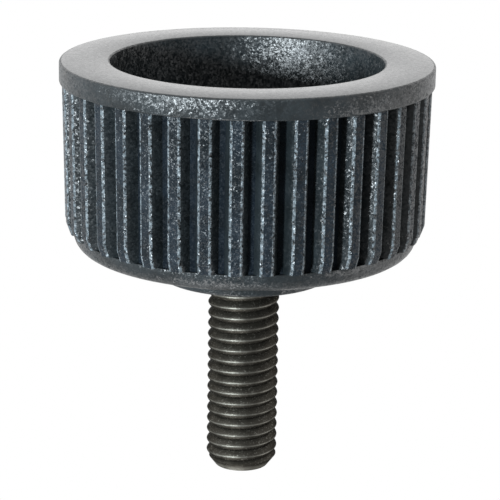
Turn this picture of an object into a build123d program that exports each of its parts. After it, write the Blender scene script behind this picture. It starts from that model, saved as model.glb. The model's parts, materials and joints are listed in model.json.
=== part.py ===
from build123d import *
import math
import os

# Collar round the open face of the head; lengths are millimetres, angles are degrees
collar_diameter = 41.0
collar_height = 2.3
rim_width = 5.5

# Bevel on the small edges of the moulding
edge_bevel = 0.35

# Grip ribs on the side of the head, drafted so that the mould draws off towards the stud
rib_count = 38
rib_inset = 0.3
rib_length = 16.6
rib_draft_angle = 1.1
rib_end_bevel_length = 1.3
rib_end_bevel_depth = 0.45

# Grooves between the ribs, with bevelled lips
groove_depth = 1.4
groove_floor_width = 0.62
groove_flank_angle = 26.3
groove_lip_depth = 0.15
groove_lip_angle = 55.0

# Recess in the open face, which keeps the moulded wall even
recess_draft_angle = 1.0
recess_floor_bevel = 0.8
floor_thickness = 10.1

# Plain ring under the ribs, and the boss that carries the clamping face
base_inset = 1.2
base_height = 2.1
base_edge_radius = 1.9
boss_diameter = 19.5
boss_height = 3.1

# Threaded steel stud with a hexagon anchor moulded into the head, and the countersink round it in the boss
thread_diameter = 8.0
thread_pitch = 1.25
thread_depth = 0.7
thread_land = 0.3
stud_length = 22.5
tip_length = 1.3
tip_inset = 1.0
neck_inset = 0.4
countersink_gap = 0.5
anchor_width = 13.0
anchor_height = 5.3
anchor_cover = 1.5

# How far a cutting shape runs past the surface that it cuts
overrun = 1.0

# A rounding takes up at most this share of the wall that it sits on
largest_rounding_share = 0.95

# Flat steps in which the ring's round edge is drawn, few so that the model stays light
round_edge_steps = 3

# Heights along the axis: the head stands on its rim and the stud points up
ribs_end = collar_height + rib_length
base_face = ribs_end + base_height
boss_face = base_face + boss_height
recess_depth = boss_face - floor_thickness
thread_end = boss_face + stud_length - tip_length
anchor_start = recess_depth + anchor_cover
neck_start = anchor_start + anchor_height

# Radii that several pieces share
rib_radius = collar_diameter / 2 - rib_inset
recess_radius = collar_diameter / 2 - rim_width
thread_radius = thread_diameter / 2
neck_radius = thread_radius - neck_inset

# The ribs, and the grooves with them, lean in by this much for each unit of height
rib_lean = math.tan(math.radians(rib_draft_angle))


def turned(corners, bevels):
    """Solid turned about the axis from (radius, height) corners, bevelled at the corners that bevels names."""
    outline = make_face(Polyline(*[(radius, 0, height) for radius, height in corners], close=True))
    for corner, size in bevels.items():
        radius, height = corners[corner]
        outline = chamfer(outline.vertices().sort_by_distance((radius, 0, height))[0], size)
    return revolve(outline, Axis.Z)


def round_edge(radius, height, rounding):
    """Corners of an outer edge that is rounded in flat steps."""
    turns = [math.radians(90 * step / round_edge_steps) for step in range(round_edge_steps + 1)]
    return [(radius - rounding * (1 - math.cos(turn)), height - rounding * (1 - math.sin(turn))) for turn in turns]


def make_recess():
    """Space inside the head: a drafted cup with a bevelled mouth and floor corner."""
    floor = recess_radius - recess_depth * math.tan(math.radians(recess_draft_angle))
    corners = [
        (0, 0),
        (recess_radius + edge_bevel, 0),
        (recess_radius, edge_bevel),
        (floor, recess_depth),
        (0, recess_depth),
    ]
    return turned(corners, {3: recess_floor_bevel})


def make_collar():
    """Plain collar that stands a little proud of the ribs."""
    radius = collar_diameter / 2
    corners = [(0, 0), (radius, 0), (radius, collar_height), (0, collar_height)]
    return turned(corners, {1: edge_bevel, 2: rib_inset * largest_rounding_share})


def make_groove():
    """Cutter for one groove: a floor, two slanted flanks and bevelled lips, drawn along the ribs' lean."""
    root = rib_radius - groove_depth
    lip = rib_radius - groove_lip_depth
    reach = rib_radius + overrun
    half_floor = groove_floor_width / 2
    half_lip = half_floor + (lip - root) * math.tan(math.radians(groove_flank_angle))
    half_reach = half_lip + (reach - lip) * math.tan(math.radians(groove_lip_angle))
    one_side = [(root, half_floor), (lip, half_lip), (reach, half_reach)]
    other_side = [(radius, -half) for radius, half in reversed(one_side)]
    section = make_face(Polyline(*one_side, *other_side, close=True))
    along = Vector(-rib_lean, 0, 1)
    return extrude(Pos(Z=collar_height) * section, amount=rib_length * along.length, dir=along)


def make_ribs():
    """Drafted body between the collar and the plain ring, bevelled at its free end and grooved all round."""
    shoulder = rib_radius - (rib_length - rib_end_bevel_length) * rib_lean
    end = rib_radius - rib_length * rib_lean - rib_end_bevel_depth
    corners = [
        (0, collar_height),
        (rib_radius, collar_height),
        (shoulder, ribs_end - rib_end_bevel_length),
        (end, ribs_end),
        (0, ribs_end),
    ]
    return turned(corners, {}) - PolarLocations(0, rib_count) * make_groove()


def make_base():
    """Plain ring with a rounded lower edge, and the boss that bears on the clamped part."""
    ring = rib_radius - base_inset
    boss = boss_diameter / 2
    rounding = min(base_edge_radius, base_height * largest_rounding_share)
    ring_corners = [(0, ribs_end), (ring, ribs_end), *round_edge(ring, base_face, rounding)]
    boss_corners = [(boss, base_face), (boss, boss_face), (0, boss_face)]
    return turned(ring_corners + boss_corners, {-2: edge_bevel})


def make_countersink():
    """Cone cut round the stud in the boss, so that the clamped part bears on the boss alone."""
    mouth = thread_radius + countersink_gap
    depth = mouth - neck_radius
    corners = [(0, boss_face - depth), (neck_radius, boss_face - depth), (mouth, boss_face), (0, boss_face)]
    return turned(corners, {})


def thread_outline():
    """Corners of the thread: V grooves about a pitch apart, with a plain land before the first and after the last."""
    length = thread_end - boss_face - 2 * thread_land
    turns = round(length / thread_pitch)
    spacing = length / turns
    first_crest = boss_face + thread_land
    corners = [(thread_radius, boss_face), (thread_radius, first_crest)]
    for turn in range(turns):
        corners.append((thread_radius - thread_depth, first_crest + (turn + 1 / 2) * spacing))
        corners.append((thread_radius, first_crest + (turn + 1) * spacing))
    return corners + [(thread_radius, thread_end)]


def make_stud():
    """Steel stud: hexagon anchor and neck inside the head, threaded length and pointed end outside it."""
    anchor = Pos(Z=anchor_start) * extrude(RegularPolygon(anchor_width / 2, 6, major_radius=False), anchor_height)
    corners = [
        (0, neck_start),
        (neck_radius, neck_start),
        (neck_radius, boss_face),
        *thread_outline(),
        (thread_radius - tip_inset, thread_end + tip_length),
        (0, thread_end + tip_length),
    ]
    return anchor + turned(corners, {})


threaded_stud = make_stud()
hollows = make_recess() + make_countersink() + threaded_stud
fluted_head = make_collar() + make_ribs() + make_base() - hollows

os.makedirs("parts", exist_ok=True)
export_step(fluted_head, "parts/fluted_head.step")
export_step(threaded_stud, "parts/threaded_stud.step")
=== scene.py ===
import json
import math

import bmesh
import bpy
from mathutils import Matrix, Vector


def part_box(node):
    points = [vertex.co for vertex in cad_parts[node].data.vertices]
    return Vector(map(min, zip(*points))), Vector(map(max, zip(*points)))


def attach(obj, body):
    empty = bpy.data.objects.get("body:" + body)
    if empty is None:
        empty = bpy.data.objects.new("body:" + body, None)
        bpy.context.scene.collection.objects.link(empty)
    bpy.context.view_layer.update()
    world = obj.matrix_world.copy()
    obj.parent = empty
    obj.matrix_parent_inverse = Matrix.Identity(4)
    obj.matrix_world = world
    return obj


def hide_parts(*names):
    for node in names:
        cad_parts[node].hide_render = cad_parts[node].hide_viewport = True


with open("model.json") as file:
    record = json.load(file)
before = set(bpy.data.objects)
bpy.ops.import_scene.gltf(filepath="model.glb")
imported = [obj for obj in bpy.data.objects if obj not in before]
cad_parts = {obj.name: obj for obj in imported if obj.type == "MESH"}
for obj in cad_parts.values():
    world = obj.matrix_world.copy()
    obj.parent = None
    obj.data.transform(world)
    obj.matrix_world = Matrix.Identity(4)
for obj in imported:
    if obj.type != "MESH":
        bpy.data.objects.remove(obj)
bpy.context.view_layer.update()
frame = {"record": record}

# Stud: a length of steel rod with a rolled M8 right-hand thread and a pointed end. A hexagon anchor and a
# plain neck are moulded into the head, so only the threaded length shows. Its black oxide is oiled and
# rubbed bare at the cut end, and its crests are painted pale as bare steel: partly wear, partly a painted
# highlight.

mm = 0.001
weld = 0.0005 * mm
head_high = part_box("fluted_head")[1]
stud_low, stud_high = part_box("threaded_stud")
stud_mount = next(mount for mount in frame["record"]["mounts"] if mount["name"] == "stud")
boss_face = head_high.z
stud_end = stud_high.z
thread_radius = stud_mount["dims"]["r_mm"] * mm
thread_end = boss_face + stud_mount["dims"]["length_mm"] * mm
thread_pitch = 1.25 * mm
thread_depth = 0.47 * mm
thread_phase_share = 0.19
thread_steps = 72
lead_in_turns = 3
crest_clearance = 0.02 * mm
crest_radius = thread_radius - crest_clearance
crest_roundness = 1.5
profile_steps = 12
tip_radius = 3.0 * mm
neck_radius = 3.6 * mm
run_out = 0.3 * mm
anchor_sides = 6
anchor_width = stud_high.y - stud_low.y
anchor_start = stud_low.z
anchor_height = 5.3 * mm
stud_crease = math.radians(36)


def clear_selection():
    """Leaves nothing selected, so that the next operator acts only on the piece at hand."""
    if bpy.context.object and bpy.context.object.mode != "OBJECT":
        bpy.ops.object.mode_set(mode="OBJECT")
    bpy.ops.object.select_all(action="DESELECT")


def take_up(piece):
    """Makes a piece the only selected one, and the active one."""
    clear_selection()
    piece.select_set(True)
    bpy.context.view_layer.objects.active = piece


def settle(piece, name):
    """Names a piece and puts its place into its mesh, with the object itself at the origin."""
    piece.name = name
    piece.data.name = name
    take_up(piece)
    bpy.ops.object.transform_apply(location=True, rotation=True, scale=True)
    return piece


def drawn_out(name, sides, outline, turn=0.0):
    """Closed shape drawn out ring by ring along (radius, height) corners and capped at both ends."""
    clear_selection()
    radius, height = outline[0]
    bpy.ops.mesh.primitive_circle_add(
        vertices=sides, radius=radius, location=(0, 0, height), rotation=(0, 0, turn)
    )
    piece = settle(bpy.context.object, name)
    bpy.ops.object.mode_set(mode="EDIT")
    bpy.ops.mesh.select_mode(type="EDGE")
    bpy.ops.mesh.select_all(action="SELECT")
    bpy.ops.mesh.edge_face_add()
    for next_radius, next_height in outline[1:]:
        bpy.ops.mesh.extrude_edges_move(TRANSFORM_OT_translate={"value": (0, 0, next_height - height)})
        grow = next_radius / radius
        bpy.ops.transform.resize(value=(grow, grow, 1), center_override=(0, 0, next_height))
        radius, height = next_radius, next_height
    bpy.ops.mesh.edge_face_add()
    bpy.ops.mesh.select_all(action="SELECT")
    bpy.ops.mesh.normals_make_consistent(inside=False)
    bpy.ops.object.mode_set(mode="OBJECT")
    return piece


def combine(piece, other, operation):
    """Joins, cuts or trims a piece with another closed piece, which is then used up."""
    take_up(piece)
    modifier = piece.modifiers.new("combine", "BOOLEAN")
    modifier.operation = operation
    modifier.solver = "EXACT"
    modifier.object = other
    bpy.ops.object.modifier_apply(modifier=modifier.name)
    bpy.data.objects.remove(other, do_unlink=True)


def rolled_thread():
    """Helical thread from below the boss face to past the stud's end, cut square at both ends and closed."""
    profile = []
    for step in range(profile_steps + 1):
        from_crest = abs(2 * step / profile_steps - 1)
        radius = crest_radius - thread_depth * from_crest ** crest_roundness
        profile.append((radius, thread_pitch * step / profile_steps))
    start = boss_face - (lead_in_turns - thread_phase_share) * thread_pitch
    clear_selection()
    bpy.ops.mesh.primitive_plane_add(size=thread_pitch)
    piece = bpy.context.object
    bpy.ops.object.mode_set(mode="EDIT")
    bpy.ops.mesh.select_all(action="SELECT")
    bpy.ops.mesh.merge(type="CENTER")
    bpy.ops.transform.translate(value=(profile[0][0], 0, start))
    for (radius, height), (next_radius, next_height) in zip(profile, profile[1:]):
        step = (next_radius - radius, 0, next_height - height)
        bpy.ops.mesh.extrude_vertices_move(TRANSFORM_OT_translate={"value": step})
    bpy.ops.object.mode_set(mode="OBJECT")
    screw = piece.modifiers.new("thread", "SCREW")
    screw.axis = "Z"
    screw.screw_offset = thread_pitch
    screw.iterations = math.ceil((stud_end - start) / thread_pitch) + 1
    screw.steps = thread_steps
    screw.render_steps = thread_steps
    screw.use_merge_vertices = True
    screw.merge_threshold = weld
    bpy.ops.object.modifier_apply(modifier=screw.name)
    bpy.ops.object.mode_set(mode="EDIT")
    bpy.ops.mesh.select_all(action="SELECT")
    bpy.ops.mesh.remove_doubles(threshold=weld)
    low_cut = boss_face - thread_pitch / 2
    high_cut = stud_end + thread_pitch / 4
    for height, is_low in ((low_cut, True), (high_cut, False)):
        bpy.ops.mesh.select_all(action="SELECT")
        bpy.ops.mesh.bisect(
            plane_co=(0, 0, height),
            plane_no=(0, 0, 1),
            use_fill=True,
            clear_inner=is_low,
            clear_outer=not is_low,
            threshold=weld,
        )
    bpy.ops.mesh.select_all(action="SELECT")
    bpy.ops.mesh.normals_make_consistent(inside=False)
    bpy.ops.object.mode_set(mode="OBJECT")
    return settle(piece, "stud")


def moulded_in_core():
    """The part of the stud inside the head: hexagon anchor with a neck that ends in the thread's run-out."""
    corner_radius = anchor_width / 2 / math.cos(math.pi / anchor_sides)
    anchor_outline = [(corner_radius, anchor_start), (corner_radius, anchor_start + anchor_height)]
    neck_outline = [(neck_radius, anchor_start + anchor_height / 2), (neck_radius, boss_face + run_out)]
    core = drawn_out("core", anchor_sides, anchor_outline, turn=math.pi / anchor_sides)
    combine(core, drawn_out("neck", thread_steps, neck_outline), "UNION")
    return core


def linear(code):
    """Linear colour of an sRGB hex code."""
    parts = [int(code[place:place + 2], 16) / 255 for place in (1, 3, 5)]
    return [part / 12.92 if part <= 0.04045 else ((part + 0.055) / 1.055) ** 2.4 for part in parts] + [1.0]


def add_node(tree, kind, inputs=None, **settings):
    """Adds a node, with its settings, and with values or links on its inputs."""
    node = tree.nodes.new(kind)
    for name, value in settings.items():
        setattr(node, name, value)
    for name, value in (inputs or {}).items():
        if isinstance(value, bpy.types.NodeSocket):
            tree.links.new(value, node.inputs[name])
        else:
            node.inputs[name].default_value = value
    return node


def new_material(name):
    """Empty node material, and its tree."""
    material = bpy.data.materials.new(name)
    material.use_nodes = True
    material.node_tree.nodes.clear()
    return material, material.node_tree


# Place of the colour among a Mix node's outputs, which all have one name
mixed_colour = 2


def black_oxide_steel():
    """Black oxide on rolled steel: a dull, near-black brown skin with pale specks, and pale crest lines that
    are partly wear and partly a painted highlight.
    """
    skin_dark = "#2c2a26"
    skin_pale = "#4b4842"
    bare_steel_and_sheen = "#96948c"
    grazing_tint = "#707070"
    skin_patch = 0.9 * mm
    # Width of the pale band on the crests, which is partly wear and partly a painted highlight line
    crest_wear_and_sheen = 0.04 * mm
    end_wear = 0.8 * mm
    # The real grit is finer, and is drawn this coarse so that it shows
    grit = 0.17 * mm
    grit_height = 0.03 * mm
    material, tree = new_material("black_oxide_steel")
    place = add_node(tree, "ShaderNodeTexCoord").outputs["Object"]
    cloud = add_node(tree, "ShaderNodeTexNoise", {"Vector": place, "Scale": 1 / skin_patch, "Detail": 4})
    skin = add_node(
        tree,
        "ShaderNodeMix",
        {"Factor": cloud.outputs["Fac"], "A": linear(skin_dark), "B": linear(skin_pale)},
        data_type="RGBA",
    )
    grains = add_node(tree, "ShaderNodeTexNoise", {"Vector": place, "Scale": 1 / grit, "Detail": 2})
    specks = add_node(
        tree, "ShaderNodeMapRange", {"Value": grains.outputs["Fac"], "From Min": 0.58, "From Max": 0.74}
    )
    across = add_node(tree, "ShaderNodeVectorMath", {0: place, 1: (1, 1, 0)}, operation="MULTIPLY")
    radius = add_node(tree, "ShaderNodeVectorMath", {0: across.outputs["Vector"]}, operation="LENGTH")
    # Crests painted pale as bare steel: partly wear, partly a painted highlight along each crest
    crests = add_node(
        tree,
        "ShaderNodeMapRange",
        {"Value": radius.outputs["Value"], "From Min": crest_radius - crest_wear_and_sheen, "From Max": crest_radius},
    )
    along = add_node(tree, "ShaderNodeSeparateXYZ", {"Vector": place})
    end = add_node(
        tree,
        "ShaderNodeMapRange",
        {"Value": along.outputs["Z"], "From Min": stud_end - end_wear, "From Max": stud_end - end_wear / 2},
    )
    edges = add_node(
        tree, "ShaderNodeMath", {0: crests.outputs["Result"], 1: end.outputs["Result"]}, operation="MAXIMUM"
    )
    spots = add_node(
        tree, "ShaderNodeMath", {0: edges.outputs["Value"], 1: specks.outputs["Result"]}, operation="MAXIMUM"
    )
    # Where pale steel shows: real specks and the bare cut end, and crests with a painted highlight
    wear_and_sheen = add_node(
        tree, "ShaderNodeMath", {0: spots.outputs["Value"], 1: cloud.outputs["Fac"]}, operation="MULTIPLY"
    )
    tone = add_node(
        tree,
        "ShaderNodeMix",
        {"Factor": wear_and_sheen.outputs["Value"], "A": skin.outputs[mixed_colour], "B": linear(bare_steel_and_sheen)},
        data_type="RGBA",
    )
    dull = add_node(
        tree, "ShaderNodeMapRange", {"Value": cloud.outputs["Fac"], "To Min": 0.38, "To Max": 0.54}
    )
    relief = add_node(
        tree, "ShaderNodeBump", {"Height": grains.outputs["Fac"], "Strength": 0.8, "Distance": grit_height}
    )
    steel = add_node(
        tree,
        "ShaderNodeBsdfPrincipled",
        {
            "Base Color": tone.outputs[mixed_colour],
            "Metallic": 0.9,
            "Specular Tint": linear(grazing_tint),
            "Roughness": dull.outputs["Result"],
            "Normal": relief.outputs["Normal"],
        },
    )
    add_node(tree, "ShaderNodeOutputMaterial", {"Surface": steel.outputs["BSDF"]})
    return material


stud = rolled_thread()
blank_outline = [(thread_radius, boss_face), (thread_radius, thread_end), (tip_radius, stud_end)]
combine(stud, drawn_out("blank", thread_steps, blank_outline), "INTERSECT")
combine(stud, moulded_in_core(), "UNION")
take_up(stud)
bpy.ops.object.shade_smooth_by_angle(angle=stud_crease)
stud.data.materials.clear()
stud.data.materials.append(black_oxide_steel())
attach(stud, "root")
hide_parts("threaded_stud")

# Head: one black moulding of glass-filled polyamide round the stud's anchor: an open cup with a proud
# collar, drafted grip ribs, a plain ring and the boss that clamps. Its finishes are a spark-eroded grain,
# matt rib tops, groove floors darkened as painted shade, rib lips with pale painted highlights and a ground
# rim.

collar_radius = head_high.x
collar_height = 2.3 * mm
collar_edge = 0.2 * mm
rim_edge = 0.25 * mm
recess_radius = 15.0 * mm
recess_floor_radius = 14.756 * mm
recess_depth = 14.0 * mm
recess_corner = 1.5 * mm
mouth_edge = 0.2 * mm
rib_count = 38
rib_radius = 20.2 * mm
rib_shoulder_radius = 19.906 * mm
rib_shoulder = 17.6 * mm
rib_end_radius = 19.43 * mm
rib_end = 18.9 * mm
rib_lip = 0.2 * mm
groove_depth = 1.4 * mm
groove_end_radius = 18.48 * mm
ring_radius = 19.0 * mm
ring_face = 21.0 * mm
ring_edge = 1.9 * mm
boss_radius = 9.75 * mm
boss_root = 0.5 * mm
boss_edge = 0.4 * mm
countersink_radius = 4.5 * mm
countersink_overrun = 0.3 * mm
head_crease = math.radians(32)

# Steps round the head from the middle of one groove to the next, and which of them each face takes up
steps_per_rib = 10
floor_steps = (0, 1, 9)
flank_steps = (2, 8)
lip_steps = (3, 7)
land_steps = (3, 4, 5, 6, 7)

# Roundness of the bevels, and how many segments they have
round_profile = 0.5
small_edge_segments = 3
rim_edge_segments = 4
recess_corner_segments = 5
ring_edge_segments = 7

# How close to a ring a corner has to be to count as on it
near = 0.004 * mm

# Patch is the size of the clouds in a finish, tilt how far its facets lean, and shine its specular level
finishes = {
    # Skin with the mould's grain: near black, with facets that glint one by one
    "spark_eroded_polyamide": {
        "colours": ("#101517", "#1c2225"),
        "patch": 3 * mm,
        "tilt": 0.28,
        "roughness": (0.31, 0.41),
        "shine": 0.5,
    },
    # Tops of the ribs: a darker, matt skin with weak, scattered glints
    "matt_polyamide": {
        "colours": ("#0f1519", "#192128"),
        "patch": 3 * mm,
        "tilt": 0.6,
        "roughness": (0.32, 0.42),
        "shine": 0.2,
    },
    # Floors of the grooves: a darker, near glossless skin that paints the shade between the ribs
    "groove_shade_polyamide": {
        "colours": ("#0b1014", "#141b22"),
        "patch": 3 * mm,
        "tilt": 0.5,
        "roughness": (0.45, 0.6),
        "shine": 0.05,
    },
    # Lips of the ribs, painted pale in places: broken bright lines of painted highlight
    "edge_highlight_polyamide": {
        "colours": ("#090d10", "#6c767c"),
        "patch": 0.35 * mm,
        "tilt": 0.9,
        "roughness": (0.26, 0.38),
        "shine": 0.5,
    },
    # The rim, ground flat: smooth enough to mirror the pale room, with a fine mottle
    "ground_polyamide_face": {
        "colours": ("#191d20", "#393e41"),
        "patch": 0.3 * mm,
        "tilt": 0.04,
        "roughness": (0.08, 0.15),
        "shine": 0.5,
    },
}
finish_order = list(finishes)


def pick(piece, kind, test):
    """In edit mode, selects the VERT, EDGE or FACE elements whose corners all pass a test on their place."""
    bpy.ops.mesh.select_mode(type=kind)
    bpy.ops.mesh.select_all(action="DESELECT")
    mesh = bmesh.from_edit_mesh(piece.data)
    elements = {"VERT": mesh.verts, "EDGE": mesh.edges, "FACE": mesh.faces}[kind]
    for element in elements:
        corners = [element] if kind == "VERT" else element.verts
        if all(test(corner.co) for corner in corners):
            element.select_set(True)
    mesh.select_flush_mode()
    bmesh.update_edit_mesh(piece.data)


def on_ring(radius, height):
    """Test for places on one ring of the head."""
    return lambda co: abs(math.hypot(co.x, co.y) - radius) < near and abs(co.z - height) < near


def rib_step(co):
    """Which of the steps across one rib and groove a place is on, counted from the groove's middle."""
    turn = math.degrees(math.atan2(co.y, co.x)) * rib_count / 360
    return round(turn * steps_per_rib) % steps_per_rib


def on_ribs(steps, low, high):
    """Test for places on the ribbed band, between two radii and on some of the steps across a rib."""
    return lambda co: (
        low - near < math.hypot(co.x, co.y) < high + near
        and collar_height - near < co.z < rib_end + near
        and rib_step(co) in steps
    )


def give_finish(piece, name):
    """In edit mode, gives the selected faces one of the head's finishes."""
    piece.active_material_index = finish_order.index(name)
    bpy.ops.object.material_slot_assign()


def moulded_head():
    """The head's turned form, with rings rounded, grooves pressed in and the ribs' edges softened."""
    outline = [
        (recess_floor_radius, recess_depth),
        (recess_radius, 0),
        (collar_radius, 0),
        (collar_radius, collar_height),
        (rib_radius, collar_height),
        (rib_shoulder_radius, rib_shoulder),
        (rib_end_radius, rib_end),
        (ring_radius, rib_end),
        (ring_radius, ring_face),
        (boss_radius, ring_face),
        (boss_radius, boss_face),
    ]
    piece = drawn_out("head", rib_count * steps_per_rib, outline)
    for name in finishes:
        bpy.ops.object.material_slot_add()
    bpy.ops.object.mode_set(mode="EDIT")
    for radius, height, rounding, segments in (
        (recess_floor_radius, recess_depth, recess_corner, recess_corner_segments),
        (recess_radius, 0, mouth_edge, rim_edge_segments),
        (collar_radius, 0, rim_edge, rim_edge_segments),
        (collar_radius, collar_height, collar_edge, small_edge_segments),
        (ring_radius, ring_face, ring_edge, ring_edge_segments),
        (boss_radius, ring_face, boss_root, small_edge_segments),
        (boss_radius, boss_face, boss_edge, small_edge_segments),
    ):
        pick(piece, "EDGE", on_ring(radius, height))
        bpy.ops.mesh.bevel(offset=rounding, segments=segments, profile=round_profile, clamp_overlap=False)
    for radius, height, floor in (
        (rib_radius, collar_height, rib_radius - groove_depth),
        (rib_shoulder_radius, rib_shoulder, rib_shoulder_radius - groove_depth),
        (rib_end_radius, rib_end, groove_end_radius),
    ):
        ring = on_ring(radius, height)
        for steps, depth in ((floor_steps, radius - floor), (flank_steps, (radius - floor) / 2)):
            pick(piece, "VERT", lambda co: ring(co) and rib_step(co) in steps)
            press = 1 - depth / radius
            bpy.ops.transform.resize(value=(press, press, 1), center_override=(0, 0, height))
    pick(piece, "FACE", on_ribs(land_steps, rib_end_radius, rib_radius))
    give_finish(piece, "matt_polyamide")
    # The groove floors' darker finish is painted shade
    pick(piece, "FACE", on_ribs(floor_steps, groove_end_radius, rib_radius - groove_depth))
    give_finish(piece, "groove_shade_polyamide")
    # The lips' pale finish paints broken highlight lines along the ribs
    pick(piece, "EDGE", on_ribs(lip_steps, rib_end_radius, rib_radius))
    bpy.ops.mesh.bevel(
        offset=rib_lip,
        segments=small_edge_segments,
        profile=round_profile,
        clamp_overlap=False,
        material=finish_order.index("edge_highlight_polyamide"),
    )
    pick(piece, "FACE", lambda co: abs(co.z) < near)
    give_finish(piece, "ground_polyamide_face")
    bpy.ops.mesh.select_all(action="SELECT")
    bpy.ops.mesh.remove_doubles(threshold=weld)
    bpy.ops.mesh.normals_make_consistent(inside=False)
    bpy.ops.object.mode_set(mode="OBJECT")
    return piece


def countersink():
    """Cone round the stud in the boss, so that the clamped part bears on the boss alone."""
    depth = countersink_radius - neck_radius
    outline = [
        (neck_radius - countersink_overrun, boss_face - depth - countersink_overrun),
        (countersink_radius + countersink_overrun, boss_face + countersink_overrun),
    ]
    return drawn_out("countersink", thread_steps, outline)


def glass_filled_polyamide(name, colours, patch, tilt, roughness, shine):
    """Glass-filled polyamide, moulded black, with a grain of tiny facets that lean and glint one by one."""
    # The real grain is finer, and is drawn this coarse so that it shows
    grain = 0.13 * mm
    clump = 0.27 * mm
    dark, pale = colours
    smoothest, roughest = roughness
    material, tree = new_material(name)
    place = add_node(tree, "ShaderNodeTexCoord").outputs["Object"]
    grains = add_node(tree, "ShaderNodeTexVoronoi", {"Vector": place, "Scale": 1 / grain})
    clumps = add_node(tree, "ShaderNodeTexVoronoi", {"Vector": place, "Scale": 1 / clump})
    both = add_node(
        tree,
        "ShaderNodeVectorMath",
        {0: grains.outputs["Color"], 1: clumps.outputs["Color"]},
        operation="ADD",
    )
    lean = add_node(
        tree,
        "ShaderNodeVectorMath",
        {0: both.outputs["Vector"], 1: (tilt,) * 3, 2: (-tilt,) * 3},
        operation="MULTIPLY_ADD",
    )
    normal = add_node(tree, "ShaderNodeNewGeometry").outputs["Normal"]
    leant = add_node(tree, "ShaderNodeVectorMath", {0: normal, 1: lean.outputs["Vector"]}, operation="ADD")
    facet = add_node(tree, "ShaderNodeVectorMath", {0: leant.outputs["Vector"]}, operation="NORMALIZE")
    cloud = add_node(tree, "ShaderNodeTexNoise", {"Vector": place, "Scale": 1 / patch, "Detail": 5})
    share = add_node(
        tree, "ShaderNodeMapRange", {"Value": cloud.outputs["Fac"], "From Min": 0.35, "From Max": 0.65}
    )
    tone = add_node(
        tree,
        "ShaderNodeMix",
        {"Factor": share.outputs["Result"], "A": linear(dark), "B": linear(pale)},
        data_type="RGBA",
    )
    dull = add_node(
        tree,
        "ShaderNodeMapRange",
        {"Value": cloud.outputs["Fac"], "To Min": smoothest, "To Max": roughest},
    )
    plastic = add_node(
        tree,
        "ShaderNodeBsdfPrincipled",
        {
            "Base Color": tone.outputs[mixed_colour],
            "Roughness": dull.outputs["Result"],
            "IOR": 1.52,
            "Specular IOR Level": shine,
            "Normal": facet.outputs["Vector"],
        },
    )
    add_node(tree, "ShaderNodeOutputMaterial", {"Surface": plastic.outputs["BSDF"]})
    return material


head = moulded_head()
combine(head, moulded_in_core(), "DIFFERENCE")
combine(head, countersink(), "DIFFERENCE")
take_up(head)
bpy.ops.object.shade_smooth_by_angle(angle=head_crease)
for slot, name in zip(head.material_slots, finish_order):
    slot.material = glass_filled_polyamide(name, **finishes[name])
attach(head, "root")
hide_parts("fluted_head")

# Camera: the photograph's viewing angle, from the side of the open rim. The screw stands on its head here,
# so that side is below the surface that it stands on, and the picture's upright is turned over.

camera_clip = 1 * mm

# Fitted to the photograph, with yaw, pitch and roll in radians
camera_distance = 244.0 * mm
camera_rise = 47.2 * mm
camera_yaw = 0.0025
camera_pitch = 0.2743
camera_roll = 0.0168
camera_lens = 163.7
rib_phase = math.radians(-2.66)
turned_over = Matrix.Rotation(rib_phase, 4, "Z") @ Matrix.Rotation(math.pi, 4, "Y")

forward = Vector((
    math.sin(camera_yaw) * math.cos(camera_pitch),
    math.cos(camera_yaw) * math.cos(camera_pitch),
    -math.sin(camera_pitch),
))
level = Vector((math.cos(camera_yaw), -math.sin(camera_yaw), 0))
upright = level.cross(forward)
right = math.cos(camera_roll) * level + math.sin(camera_roll) * upright
up = math.cos(camera_roll) * upright - math.sin(camera_roll) * level
aim = Matrix((right, up, -forward)).transposed().to_4x4()
camera = bpy.data.objects.new("camera", bpy.data.cameras.new("camera"))
camera.data.lens = camera_lens
camera.data.clip_start = camera_clip
camera.matrix_world = turned_over @ Matrix.Translation((0, -camera_distance, camera_rise)) @ aim
bpy.context.scene.collection.objects.link(camera)
bpy.context.scene.camera = camera

# Studio: a pale floor that shows only from above, a white room that reflections show brighter behind and
# above the object, and four round lamps. The key and side lamps left of the camera make the grain glint, the
# fill lamp lights the right side, and the top lamp gives the floor its shadow.

floor_side = 4.0
floor_drop = 0.2 * mm
floor_colour = "#eeeeee"
backdrop_light = 1.0
room_light = 0.4

# Reflections show the room graded, between two cosines to the direction where it is brightest
room_tilt = math.radians(40)
room_front_cosine = -1.0
room_back_cosine = 0.9
room_front_light = 0.2
room_back_light = 1.3

# Turn to the right of the camera and rise to the picture's top in degrees, lengths in metres, power in watts
lamps = {
    "key": {"turn": -33, "rise": 7, "distance": 0.6, "width": 0.08, "power": 6.4, "colour": "#eef9ff"},
    "side": {"turn": -62, "rise": 8, "distance": 0.6, "width": 0.1, "power": 1.3, "colour": "#eef9ff"},
    "fill": {"turn": 84, "rise": -28, "distance": 0.6, "width": 0.3, "power": 0.65, "colour": "#ffffff"},
    "top": {"turn": -40, "rise": -70, "distance": 0.8, "width": 0.4, "power": 2.4, "colour": "#ffffff"},
}

clear_selection()
bpy.ops.mesh.primitive_plane_add(size=floor_side, location=(0, 0, -floor_drop))
floor = settle(bpy.context.object, "floor")
# Matt pale floor: an even near-white ground, and clear from below, so that it hides nothing
floor_material, floor_tree = new_material("pale_floor")
matt = add_node(floor_tree, "ShaderNodeBsdfDiffuse", {"Color": linear(floor_colour)})
clear = add_node(floor_tree, "ShaderNodeBsdfTransparent")
from_below = add_node(floor_tree, "ShaderNodeNewGeometry").outputs["Backfacing"]
one_sided = add_node(
    floor_tree, "ShaderNodeMixShader", {0: from_below, 1: matt.outputs["BSDF"], 2: clear.outputs["BSDF"]}
)
add_node(floor_tree, "ShaderNodeOutputMaterial", {"Surface": one_sided.outputs["Shader"]})
floor.data.materials.append(floor_material)
floor.visible_shadow = False
floor.visible_diffuse = False
floor.visible_glossy = False
floor.visible_transmission = False

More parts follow.
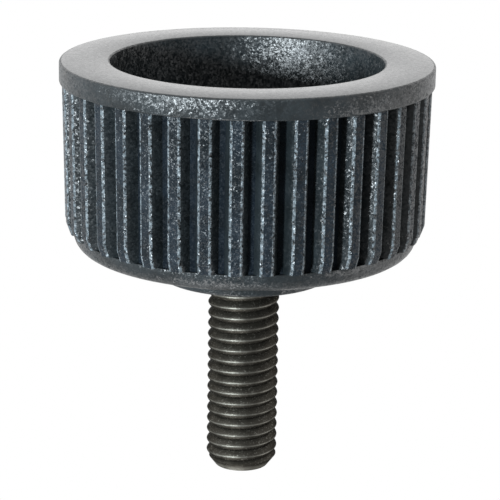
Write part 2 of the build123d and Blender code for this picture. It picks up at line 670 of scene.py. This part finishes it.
lamp_target = Vector((0, 0, boss_face / 2))
for name, lamp in lamps.items():
    light = bpy.data.lights.new(name, "AREA")
    light.shape = "DISK"
    light.size = lamp["width"]
    light.energy = lamp["power"]
    light.color = linear(lamp["colour"])[:3]
    stand = bpy.data.objects.new(name, light)
    turn = math.radians(lamp["turn"])
    rise = math.radians(lamp["rise"])
    away = Vector((math.sin(turn) * math.cos(rise), -math.cos(turn) * math.cos(rise), math.sin(rise)))
    offset = turned_over @ (away * lamp["distance"])
    facing = offset.to_track_quat("Z", "Y").to_matrix().to_4x4()
    stand.matrix_world = Matrix.Translation(lamp_target + offset) @ facing
    bpy.context.scene.collection.objects.link(stand)

room = bpy.data.worlds.new("white_room")
room.use_nodes = True
room_tree = room.node_tree
room_tree.nodes.clear()
bpy.context.scene.world = room
ray = add_node(room_tree, "ShaderNodeLightPath").outputs
direction = add_node(room_tree, "ShaderNodeTexCoord").outputs["Generated"]
backward = turned_over.to_3x3() @ Vector((0, math.cos(room_tilt), math.sin(room_tilt)))
depth = add_node(room_tree, "ShaderNodeVectorMath", {0: direction, 1: backward}, operation="DOT_PRODUCT")
graded = add_node(
    room_tree,
    "ShaderNodeMapRange",
    {
        "Value": depth.outputs["Value"],
        "From Min": room_front_cosine,
        "From Max": room_back_cosine,
        "To Min": room_front_light,
        "To Max": room_back_light,
    },
)
mirrored = add_node(
    room_tree,
    "ShaderNodeMix",
    {"Factor": ray["Is Glossy Ray"], "A": room_light, "B": graded.outputs["Result"]},
)
seen = add_node(
    room_tree,
    "ShaderNodeMath",
    {0: ray["Is Camera Ray"], 1: ray["Is Transmission Ray"]},
    operation="MAXIMUM",
)
strength = add_node(
    room_tree,
    "ShaderNodeMix",
    {"Factor": seen.outputs["Value"], "A": mirrored.outputs["Result"], "B": backdrop_light},
)
walls = add_node(
    room_tree, "ShaderNodeBackground", {"Color": linear("#ffffff"), "Strength": strength.outputs["Result"]}
)
add_node(room_tree, "ShaderNodeOutputWorld", {"Surface": walls.outputs["Background"]})

bpy.context.scene.view_settings.view_transform = "Standard"
